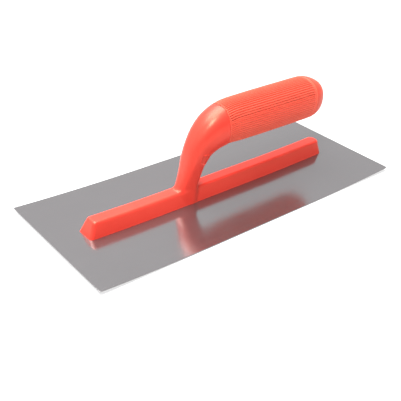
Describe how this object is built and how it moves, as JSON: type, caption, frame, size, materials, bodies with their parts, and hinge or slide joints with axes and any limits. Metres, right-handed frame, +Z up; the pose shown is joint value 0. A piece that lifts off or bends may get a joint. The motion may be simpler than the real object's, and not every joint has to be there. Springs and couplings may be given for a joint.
{
  "type": "finishing trowel",
  "caption": "Rectangular steel smoothing trowel with plain edges and an open orange plastic handle with a ribbed grip, screwed on along a long foot.",
  "frame": {"origin": "centre of the blade's underside, the working face", "axes": "+X along the blade towards the grip's free end, +Y across the blade, +Z up from the working face through the handle"},
  "size_m": [0.28, 0.12, 0.0737],
  "materials": {
    "polished_steel": "bright cold-rolled sheet, nearly mirror-like, with fine rolling lines",
    "orange_plastic": "glossy injection-moulded plastic, red-orange",
    "orange_sleeve": "satin moulded sleeve with fine lengthways ribs, red-orange",
    "zinc_plated_steel": "bright zinc plate"
  },
  "bodies": {
    "root": {"blade": "polished_steel", "handle_body": "orange_plastic", "grip_sleeve": "orange_sleeve", "end_cap": "orange_plastic", "blade_screw_1": "zinc_plated_steel", "blade_screw_2": "zinc_plated_steel", "blade_screw_3": "zinc_plated_steel", "blade_screw_4": "zinc_plated_steel", "blade_screw_5": "zinc_plated_steel", "blade_screw_6": "zinc_plated_steel"}
  },
  "joints": []
}
